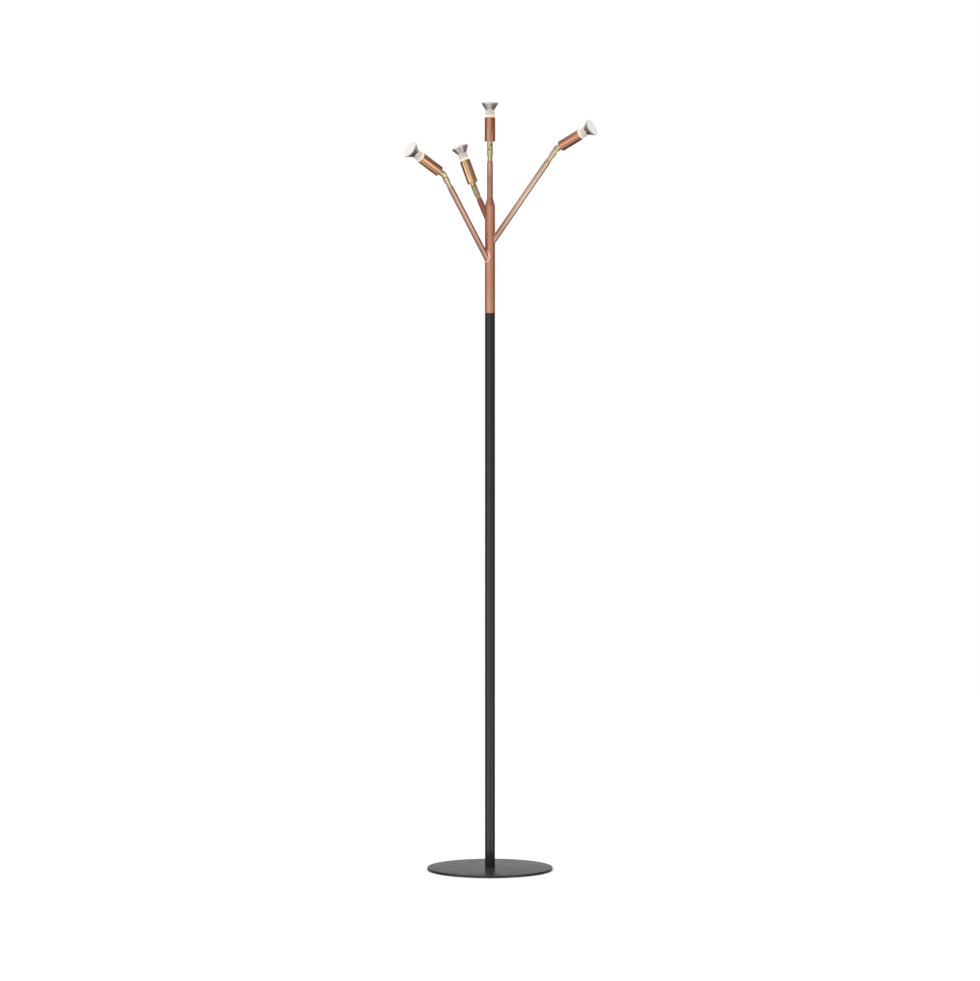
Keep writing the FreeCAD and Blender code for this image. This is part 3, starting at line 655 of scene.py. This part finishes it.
# Each arm's copper: the right arm's is a lit copy as painted highlight, the back arm's a shaded
# copy as painted shade, the centre arm's with a painted dark reflection
ARM_COPPER = {
    "left": copper_arm,
    "right": copper_arm_painted_highlight,
    "back": copper_red,
    "centre": copper_painted_reflection,
}
# Each cup's copper: the back cup's is a lit copy as painted highlight, the right and centre cups'
# a darker copy as painted shade
CUP_COPPER = {
    "left": copper_polished,
    "right": copper_cup_painted_shade,
    "back": copper_cup_painted_highlight,
    "centre": copper_cup_painted_shade,
}


# CAD nodes that stay

def carry_over():
    """Better finishes for the CAD nodes whose shape is right."""
    finishes = {
        "base_pad": black_rubber,
        "cord_grommet": black_rubber,
        "base_bolt": steel,
        "pole_foot_insert": steel,
        "joint_spigot": steel,
        "grub_screws": steel,
        "terminal_block": white_plastic,
        "arm_nipples": brass_turned,
    }
    for head in HEADS:
        for part in ("knuckle_lower", "knuckle_upper", "knuckle_screw", "stop_screw"):
            finishes[f"{part}_{head}"] = brass_turned
        finishes[f"cup_nut_{head}"] = steel
        finishes[f"lamp_holder_{head}"] = holder_ceramic
    for name, material in finishes.items():
        mesh = NODES[name].data
        mesh.materials.clear()
        mesh.materials.append(material)


# Stand

def make_base():
    plate = lathe("base_disc", rounded([
        (0, BASE_LOW),
        (BASE_RADIUS, BASE_LOW, BASE_LOW_ROUND),
        (BASE_RADIUS, BASE_HIGH, BASE_TOP_ROUND),
        (0, BASE_HIGH),
    ], closed=False), closed=False, segments=256)
    finish_piece(plate, base_paint, "stand", "base_paint", "base_plate")


def make_pole():
    pole = lathe("pole", rounded([
        (POLE_BORE, BASE_HIGH),
        (POLE_RADIUS, BASE_HIGH, EDGE_BREAK),
        (POLE_RADIUS, POLE_TOP, EDGE_BREAK),
        (POLE_BORE, POLE_TOP),
    ]))
    inlet = Vector((0, 0, INLET_HEIGHT))
    drill(pole, INLET_RADIUS, inlet, inlet + Vector((0, 2 * POLE_RADIUS, 0)))
    finish_piece(pole, pole_paint, "stand", "pole_paint", "pole_tube")


def make_trunk():
    trunk = lathe("trunk", rounded([
        (TRUNK_BORE, POLE_TOP),
        (POLE_RADIUS, POLE_TOP, EDGE_BREAK),
        (POLE_RADIUS, SHOULDER_HEIGHT, SHOULDER_ROUND),
        (NECK_RADIUS, NECK_HEIGHT, EDGE_BREAK),
        (ARM_RADIUS, NECK_HEIGHT),
        (TRUNK_BORE, SHOULDER_HEIGHT - TRUNK_WALL),
    ], steps=8))
    finish_piece(trunk, copper_trunk, "stand", "copper", "trunk_tube")


def make_arm(head):
    pivot, along, _ = joint_place(head)
    if head == "centre":
        start = NECK_HEIGHT - pivot.z - ARM_SUNK
    else:
        start = ARM_BORE - pivot.xy.length / along.xy.length
    arm = lathe(f"arm_of_{head}", rounded([
        (ARM_BORE, start),
        (ARM_RADIUS, start),
        (ARM_RADIUS, ARM_END - ARM_BEVEL, EDGE_BREAK),
        (ARM_LIP, ARM_END),
        (ARM_BORE, ARM_END),
    ]), arm_place(head), segments=64)
    finish_piece(arm, ARM_COPPER[head], "stand", "copper", f"arm_{head}")


def braze_ring(bm, head):
    """A hollow bead of filler, laid by hand round the root of a side arm. Its pale film, wider to
    the right and upwards, is also a painted highlight on the trunk.
    """
    pivot, along, _ = joint_place(head)
    root = pivot - along * (pivot.xy.length / along.xy.length)
    across = UP.cross(along).normalized()
    over = along.cross(across)
    rings = []
    for i in range(BRAZE_SEGMENTS):
        angle = 2 * math.pi * i / BRAZE_SEGMENTS
        radial = across * math.cos(angle) + over * math.sin(angle)
        # Where this line along the arm's wall comes out of the round trunk
        start = root + radial * ARM_RADIUS
        slope = along.xy.length_squared
        mixed = start.xy.dot(along.xy)
        inside = start.xy.length_squared - POLE_RADIUS ** 2
        reach = (-mixed + math.sqrt(mixed * mixed - slope * inside)) / slope
        meeting = start + along * reach
        outward = Vector((meeting.x, meeting.y, 0)).normalized()
        away = (radial - outward * radial.dot(outward)).normalized()
        wobble = 0.16 * math.sin(3 * angle + 1) + 0.1 * math.sin(7 * angle)
        width = BRAZE_WIDTH * (1 + wobble)
        # Wider to the right and upwards: filler there, and a painted highlight on the trunk
        lean = max(0, SPREAD_RIGHT * away.x + SPREAD_UP * away.z)
        spread = width * (1 + BRAZE_AND_HIGHLIGHT_SPREAD * lean ** 2)
        edge = meeting + away * spread
        # A film that rises from the trunk, the bead's crest, and its edge on the arm
        ring = []
        for step in range(FILM_STEPS):
            t = step / FILM_STEPS
            at = edge.lerp(meeting, t)
            flat = at.xy.normalized() * (POLE_RADIUS - BRAZE_SUNK + BRAZE_FILM * t)
            ring.append(bm.verts.new((flat.x, flat.y, at.z)))
        for at in (
            meeting + (outward + radial) * BRAZE_CREST,
            meeting + along * width * 0.5 + radial * BRAZE_ON_ARM,
            meeting + along * width - radial * BRAZE_SUNK,
            meeting - (outward + radial) * BRAZE_INSIDE,
        ):
            ring.append(bm.verts.new(at))
        rings.append(ring)
    bridge(bm, rings, closed=True)


def make_brazing():
    bm = bmesh.new()
    for head in SIDE_ARMS:
        braze_ring(bm, head)
    finish_piece(from_bmesh("brazing", bm), brazing, "stand", "brass", "braze_fillets")


def make_neck_brazing():
    """The uneven bead where the trunk's neck closes on the centre arm."""
    bm = bmesh.new()
    rings = []
    for radius, height in NECK_BEAD:
        ring = []
        for i in range(BEAD_SEGMENTS):
            angle = 2 * math.pi * i / BEAD_SEGMENTS
            level = NECK_HEIGHT + height * (1 + 0.2 * math.sin(5 * angle))
            ring.append(bm.verts.new((radius * math.cos(angle), radius * math.sin(angle), level)))
        rings.append(ring)
    bridge(bm, rings, closed=True)
    finish_piece(from_bmesh("neck_brazing", bm), copper_red, "stand", "brass")


# Joints

def shoulder_lips(head):
    """Lips that bring the shoulder of each joint half close to the round eye it faces."""
    # The back head's tilt axis points the other way, and so do its eyes
    turned = -1 if head == "back" else 1
    halves = (
        ("lower", arm_place(head), -1, f"swivel_{head}"),
        ("upper", head_place(head), 1, f"head_{head}"),
    )
    for half, place, way, body in halves:
        bm = bmesh.new()
        rings = []
        for i in range(LIP_STEPS + 1):
            angle = -way * turned * math.pi * i / LIP_STEPS
            ring = []
            for radius, height in (
                (WIRE_BORE, KNUCKLE_LIP),
                (KNUCKLE_RADIUS, KNUCKLE_LIP),
                (KNUCKLE_RADIUS, KNUCKLE_SHOULDER),
                (WIRE_BORE, KNUCKLE_SHOULDER),
            ):
                at = (radius * math.cos(angle), radius * math.sin(angle), way * height)
                ring.append(bm.verts.new(at))
            rings.append(ring)
        bridge(bm, rings)
        bm.faces.new(rings[0])
        bm.faces.new(rings[-1])
        lip = from_bmesh(f"knuckle_lip_{half}_{head}", bm, place)
        finish_piece(lip, brass_turned, body, "brass")


# Heads

def make_head(head):
    place = head_place(head)
    body = f"head_{head}"
    cup = lathe(f"cup_{head}", rounded([
        (CUP_HOLE, CUP_LOW),
        (CUP_RADIUS, CUP_LOW, CUP_ROUND),
        (CUP_RADIUS, CUP_HIGH, EDGE_BREAK),
        (CUP_BORE, CUP_HIGH, EDGE_BREAK),
        (CUP_BORE, CUP_FLOOR, CUP_ROUND),
        (CUP_HOLE, CUP_FLOOR),
    ]), place)
    finish_piece(cup, CUP_COPPER[head], body, "copper", f"lamp_cup_{head}")

    foot = lathe(f"bulb_foot_{head}", rounded([
        (0, HOLDER_TOP),
        (CERAMIC_RADIUS, HOLDER_TOP, FOOT_ROUND),
        (CERAMIC_RADIUS, CERAMIC_TOP, CERAMIC_ROUND),
        (PLUG_RADIUS, CERAMIC_TOP),
        (PLUG_RADIUS, PLUG_TOP, CERAMIC_ROUND),
        (0, PLUG_TOP),
    ], closed=False), place, closed=False)
    finish_piece(foot, bulb_ceramic, body, "bulb_ceramic", f"bulb_base_{head}")
    for side, reach in (("a", PIN_REACH), ("b", -PIN_REACH)):
        beside = place @ Matrix.Translation((reach, 0, 0))
        pin = lathe(f"bulb_pin_{side}_{head}", rounded([
            (0, PIN_LOW),
            (PIN_HEAD, PIN_LOW, PIN_ROUND),
            (PIN_HEAD, PIN_NECK, PIN_ROUND),
            (PIN_RADIUS, PIN_NECK),
            (PIN_RADIUS, HOLDER_TOP),
        ], closed=False), beside, closed=False, segments=32)
        finish_piece(pin, steel, body, "bulb_ceramic")
    make_bulb(head, place, body)
    make_front(head, place, body)
    make_capsule(head, place, body)
    make_filament(head, place, body)


def make_bulb(head, place, body):
    """The glass neck, the bowl with its curved edges, and the clear rim round the front."""
    neck = lathe(f"bulb_neck_{head}", rounded([
        (NECK_GLASS - GLASS, CERAMIC_TOP),
        (NECK_GLASS, CERAMIC_TOP, EDGE_BREAK),
        (NECK_GLASS, NECK_GLASS_TOP - FLARE),
        (NECK_GLASS - GLASS, NECK_GLASS_TOP - FLARE),
    ]), place)
    finish_piece(neck, neck_glass, body, "bulb_glass", f"bulb_reflector_{head}")
    bowl = lathe(f"bulb_bowl_{head}", rounded([
        (NECK_GLASS - GLASS, NECK_GLASS_TOP - FLARE),
        (NECK_GLASS, NECK_GLASS_TOP - FLARE),
        (NECK_GLASS, NECK_GLASS_TOP, FLARE),
        (BOWL_RADIUS, RIM_LOW, BOWL_ROUND),
        (BOWL_RADIUS, RIM_SEAM),
        (BOWL_RADIUS - GLASS, RIM_SEAM),
        (NECK_GLASS - GLASS, NECK_GLASS_TOP, FLARE),
    ], steps=6), place)
    finish_piece(bowl, silvered, body, "bulb_glass")
    rim = lathe(f"bulb_rim_{head}", rounded([
        (LENS_RADIUS + LENS_GAP, RIM_SEAM),
        (BOWL_RADIUS, RIM_SEAM),
        (BOWL_RADIUS, RIM_TOP, EDGE_BREAK),
        (LENS_RADIUS + LENS_GAP, RIM_TOP, EDGE_BREAK),
    ]), place)
    finish_piece(rim, neck_glass, body, "bulb_glass")


def make_front(head, place, body):
    """The faceted mirror inside the bowl, and the front glass that covers it."""
    throat = Vector((NECK_GLASS - GLASS, NECK_GLASS_TOP)) * MIRROR_INSET
    mouth = Vector((BOWL_RADIUS - GLASS, LENS_LOW)) * MIRROR_INSET
    outline = [throat.lerp(mouth, step / MIRROR_BANDS) for step in range(MIRROR_BANDS + 1)]
    mirror = lathe(
        f"facets_{head}", outline, place, closed=False, segments=MIRROR_FACETS, smooth=False,
    )
    finish_piece(mirror, silvered, body, "bulb_glass")
    lens = lathe(f"front_glass_{head}", rounded([
        (0, LENS_LOW),
        (LENS_RADIUS, LENS_LOW, LENS_LOW_ROUND),
        (LENS_RADIUS, RIM_TOP, LENS_TOP_ROUND),
        (0, RIM_TOP),
    ], closed=False), place, closed=False)
    finish_piece(lens, front_glass, body, "bulb_glass", f"bulb_lens_{head}")


def make_capsule(head, place, body):
    """The round-topped capsule, and the pinched foot that holds it on the bulb's plug."""
    shoulder = CAPSULE_TOP - CAPSULE_RADIUS
    outline = rounded([
        (0, CAPSULE_FOOT),
        (CAPSULE_RADIUS, CAPSULE_FOOT, CAPSULE_ROUND),
        (CAPSULE_RADIUS, shoulder),
    ], closed=False)
    cap = arc((CAPSULE_RADIUS, shoulder), (0, CAPSULE_TOP), CAPSULE_RADIUS * CAPSULE_SLACK)
    capsule = lathe(f"burner_{head}", outline + cap[1:], place, closed=False, segments=48)
    finish_piece(capsule, quartz, body, "capsule_glass", f"bulb_capsule_{head}")

    bm = bmesh.new()
    bmesh.ops.create_cube(bm, size=1)
    high = CAPSULE_FOOT - PLUG_TOP
    bmesh.ops.scale(bm, vec=(PINCH_WIDTH, PINCH_DEPTH, high), verts=bm.verts)
    bmesh.ops.translate(bm, vec=(0, 0, PLUG_TOP + high / 2), verts=bm.verts)
    bmesh.ops.bevel(bm, geom=bm.edges[:], offset=PINCH_BEVEL, segments=3, affect="EDGES")
    finish_piece(from_bmesh(f"pinch_{head}", bm, place), quartz, body, "capsule_glass")


def make_filament(head, place, body):
    """Two leads that rise from the plug, and the coil between them."""
    bm = bmesh.new()
    for side in (-1, 1):
        tube(bm, [
            Vector((side * LEAD_APART, 0, PLUG_TOP - LEAD_SUNK)),
            Vector((side * LEAD_APART, 0, CAPSULE_FOOT + LEAD_BEND)),
            Vector((side * COIL_REACH, 0, CAPSULE_FOOT + 2 * LEAD_BEND)),
        ], LEAD_RADIUS)
    coil = []
    for step in range(COIL_STEPS + 1):
        angle = 2 * math.pi * step / COIL_STEPS_PER_TURN
        reach = COIL_REACH - 2 * COIL_REACH * step / COIL_STEPS
        level = CAPSULE_FOOT + COIL_RISE + COIL_RADIUS * math.sin(angle)
        coil.append(Vector((reach, COIL_RADIUS * math.cos(angle), level)))
    tube(bm, coil, COIL_WIRE, sides=6)
    finish_piece(from_bmesh(f"filament_{head}", bm, place), tungsten, body, "capsule_glass")


# Camera, light and floor

def make_camera():
    data = bpy.data.cameras.new("camera")
    data.lens = CAMERA_LENS
    data.sensor_width = CAMERA_SENSOR
    camera = bpy.data.objects.new("camera", data)
    camera.location = (0, -CAMERA_DISTANCE, CAMERA_HEIGHT)
    camera.rotation_euler = (math.pi / 2 - CAMERA_TILT, 0, 0)
    bpy.context.scene.collection.objects.link(camera)
    bpy.context.scene.camera = camera


def aim(azimuth, elevation):
    """A direction from the lamp. Azimuth 0 is the camera's side, 90 its right."""
    a = math.radians(azimuth)
    e = math.radians(elevation)
    return Vector((math.sin(a) * math.cos(e), -math.cos(a) * math.cos(e), math.sin(e)))


def panel(tree, direction, towards, inner, outer, level):
    """A round soft panel of light that the metal mirrors, seen from the lamp."""
    dot = tree.nodes.new("ShaderNodeVectorMath")
    dot.operation = "DOT_PRODUCT"
    dot.inputs[1].default_value = aim(*towards)
    tree.links.new(direction, dot.inputs[0])
    fade = tree.nodes.new("ShaderNodeMapRange")
    fade.interpolation_type = "SMOOTHSTEP"
    fade.inputs["From Min"].default_value = math.cos(math.radians(outer))
    fade.inputs["From Max"].default_value = math.cos(math.radians(inner))
    fade.inputs["To Max"].default_value = level
    tree.links.new(dot.outputs["Value"], fade.inputs["Value"])
    return fade.outputs["Result"]


# Panels: azimuth and elevation, inner and outer angle, level
PANELS = (
    ((-36, -2), 8, 44, 0.49),
    ((43, -19), 6, 28, 0.75),
    ((28, -24), 4, 24, 0.25),
    ((5, 0), 4, 22, 0.22),
    ((-40, -48), 15, 62, 0.42),
    ((20, 0), 20, 110, 0.18),
    ((-75, 38), 10, 42, 0.38),
    ((180, 70), 20, 50, 0.5),
    ((175, 4), 12, 30, 0.46),
    ((2, 20), 5, 22, 0.35),
    ((-62, -12), 6, 22, 0.5),
    ((-138, 6), 8, 36, 0.24),
    ((136, 0), 8, 32, 0.20),
)


def background(tree, colour, strength):
    """A plain background. Its colour is a tuple or a socket, its strength a float or one."""
    node = tree.nodes.new("ShaderNodeBackground")
    if isinstance(colour, tuple):
        node.inputs["Color"].default_value = (*colour, 1)
    else:
        tree.links.new(colour, node.inputs["Color"])
    if isinstance(strength, float):
        node.inputs["Strength"].default_value = strength
    else:
        tree.links.new(strength, node.inputs["Strength"])
    return node.outputs[0]


def make_world():
    """White behind the lamp, an even light on matt pieces, soft panels in the metal."""
    world = bpy.data.worlds.new("studio")
    bpy.context.scene.world = world
    world.use_nodes = True
    tree = world.node_tree
    tree.nodes.clear()
    path = tree.nodes.new("ShaderNodeLightPath")
    direction = tree.nodes.new("ShaderNodeTexCoord").outputs["Generated"]
    level = DIM_LEVEL
    for towards, inner, outer, strength in PANELS:
        shine = panel(tree, direction, towards, inner, outer, strength)
        level = join_values(tree, "ADD", level, shine)
    warmth = span(tree, level, 0, 1, start=0.1, end=0.6)
    tone = blend_colours(tree, warmth, (1, 0.86, 0.78), (1, 0.985, 0.97))
    mirrored = background(tree, tone, level)
    white = background(tree, (1, 1, 1), 1.0)
    backdrop = panel(tree, direction, (180, 0), 55, 68, 1.0)
    glassy = path.outputs["Is Transmission Ray"]
    through = join_values(tree, "MULTIPLY", glassy, backdrop)
    seen = join_values(tree, "MAXIMUM", path.outputs["Is Camera Ray"], through)
    shown = join_values(tree, "MAXIMUM", path.outputs["Is Glossy Ray"], glassy)
    matt = join_values(tree, "GREATER_THAN", path.outputs["Diffuse Depth"], 0.5)
    shown = join_values(tree, "MULTIPLY", shown, join_values(tree, "SUBTRACT", 1.0, matt))
    lit = tree.nodes.new("ShaderNodeMixShader")
    tree.links.new(shown, lit.inputs["Fac"])
    tree.links.new(white, lit.inputs[1])
    tree.links.new(mirrored, lit.inputs[2])
    total = tree.nodes.new("ShaderNodeMixShader")
    tree.links.new(seen, total.inputs["Fac"])
    tree.links.new(lit.outputs[0], total.inputs[1])
    tree.links.new(white, total.inputs[2])
    output = tree.nodes.new("ShaderNodeOutputWorld")
    tree.links.new(total.outputs[0], output.inputs["Surface"])


def softbox(name, azimuth, elevation, distance, size, power):
    """A soft lamp for the matt pieces. The metal mirrors the world's panels instead."""
    data = bpy.data.lights.new(name, "AREA")
    data.shape = "RECTANGLE"
    data.size, data.size_y = size
    data.energy = power
    lamp = bpy.data.objects.new(name, data)
    away = aim(azimuth, elevation)
    lamp.location = LAMPS_FACE + away * distance
    lamp.rotation_euler = away.to_track_quat("Z", "Y").to_euler()
    lamp.visible_glossy = False
    bpy.context.scene.collection.objects.link(lamp)


def make_floor():
    """A floor that is lifted to white where it is seen, but keeps the lamp's shadow."""
    bm = bmesh.new()
    bmesh.ops.create_circle(bm, cap_ends=True, segments=96, radius=FLOOR_RADIUS)
    mesh = bpy.data.meshes.new("floor")
    bm.to_mesh(mesh)
    bm.free()
    floor = bpy.data.objects.new("floor", mesh)
    floor.location.z = -FLOOR_DROP
    bpy.context.scene.collection.objects.link(floor)
    material = bpy.data.materials.new("floor")
    material.use_nodes = True
    tree = material.node_tree
    tree.nodes.clear()
    diffuse = tree.nodes.new("ShaderNodeBsdfDiffuse")
    diffuse.inputs["Color"].default_value = FLOOR_COLOUR
    glow = tree.nodes.new("ShaderNodeEmission")
    glow.inputs["Strength"].default_value = FLOOR_GLOW
    lifted = tree.nodes.new("ShaderNodeAddShader")
    tree.links.new(diffuse.outputs[0], lifted.inputs[0])
    tree.links.new(glow.outputs[0], lifted.inputs[1])
    path = tree.nodes.new("ShaderNodeLightPath")
    glassy = path.outputs["Is Transmission Ray"]
    seen = join_values(tree, "MAXIMUM", path.outputs["Is Camera Ray"], glassy)
    mix = tree.nodes.new("ShaderNodeMixShader")
    tree.links.new(seen, mix.inputs["Fac"])
    tree.links.new(diffuse.outputs[0], mix.inputs[1])
    tree.links.new(lifted.outputs[0], mix.inputs[2])
    output = tree.nodes.new("ShaderNodeOutputMaterial")
    tree.links.new(mix.outputs[0], output.inputs["Surface"])
    mesh.materials.append(material)
    floor.visible_glossy = False


# The whole scene

make_camera()
make_world()
make_floor()
softbox("left", azimuth=-40, elevation=20, distance=3.0, size=(1.0, 1.6), power=12)
softbox("top", azimuth=0, elevation=75, distance=2.5, size=(1.2, 1.2), power=8)
carry_over()
make_base()
make_pole()
make_trunk()
for head in HEADS:
    make_arm(head)
    make_head(head)
    shoulder_lips(head)
make_brazing()
make_neck_brazing()
bpy.context.scene.view_settings.view_transform = "Standard"
